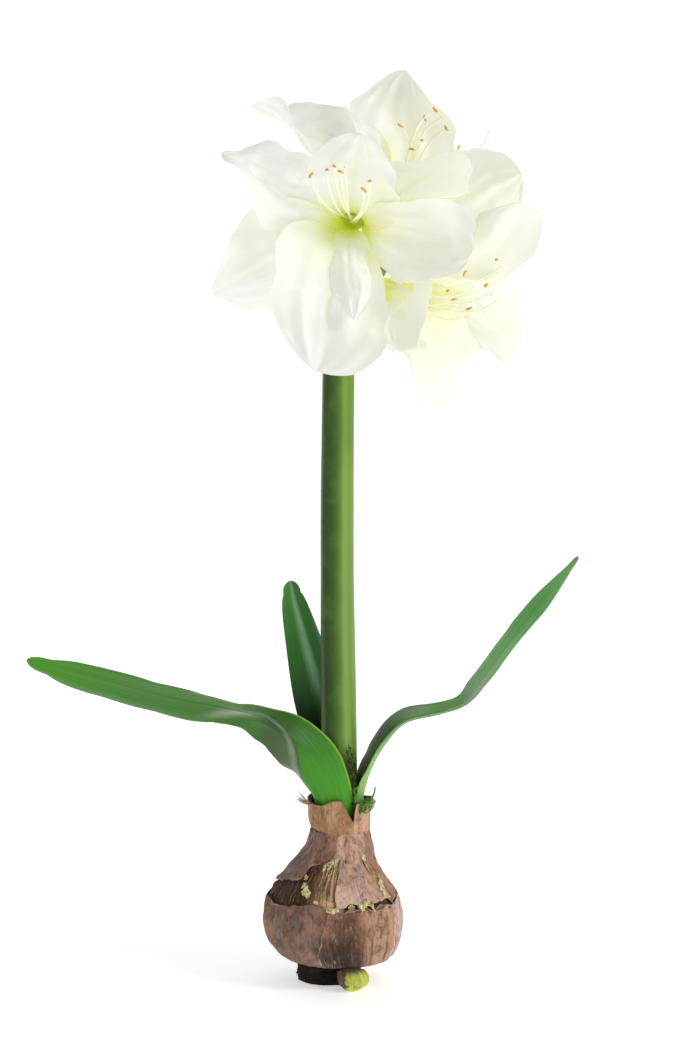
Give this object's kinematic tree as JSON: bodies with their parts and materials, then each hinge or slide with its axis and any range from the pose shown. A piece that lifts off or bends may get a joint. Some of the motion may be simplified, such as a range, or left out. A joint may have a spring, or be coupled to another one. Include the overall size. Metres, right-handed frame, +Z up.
{
  "type": "amaryllis bulb",
  "caption": "Bare amaryllis bulb in flower, with strap leaves and a thick stem that carries a head of large white blooms.",
  "frame": {"origin": "on the floor, under the axis of the bulb, where the root plate rests", "axes": "+Z up along the flower stem, -Y towards the viewer and the front bloom, +X to the viewer's right"},
  "size_m": [0.3788, 0.2407, 0.6376],
  "materials": {
    "tunic": "dry papery skin, matt, brown and mauve with dark patches",
    "root_plate": "rough, matt, black-brown cork of old roots",
    "bulblet": "smooth yellow-green with brown skin",
    "scape": "smooth, satin green with a pale bloom",
    "leaf": "satin green strap leaf with fine long veins",
    "leaf_back": "darker satin green",
    "moss": "fine dark green threads",
    "bract": "dry, thin, straw-coloured",
    "pedicel": "smooth light green stalk",
    "tepal": "soft white, faintly veined, yellow-green in the throat",
    "stamen": "white to yellow-green filaments with orange-yellow anthers"
  },
  "bodies": {
    "root": {"bulb": "tunic", "basal_plate": "root_plate", "offset_bulblet": "bulblet", "scape": "scape", "leaf_left": "leaf", "leaf_right": "leaf", "leaf_back": "leaf_back", "moss_tuft": "moss", "bract_front": "bract", "bract_back": "bract", "pedicel_front": "pedicel", "bloom_front": "tepal", "stamens_front": "stamen", "pedicel_right": "pedicel", "bloom_right": "tepal", "stamens_right": "stamen", "pedicel_top": "pedicel", "bloom_top": "tepal", "stamens_top": "stamen", "pedicel_back": "pedicel", "bloom_back": "tepal", "stamens_back": "stamen"}
  },
  "joints": []
}
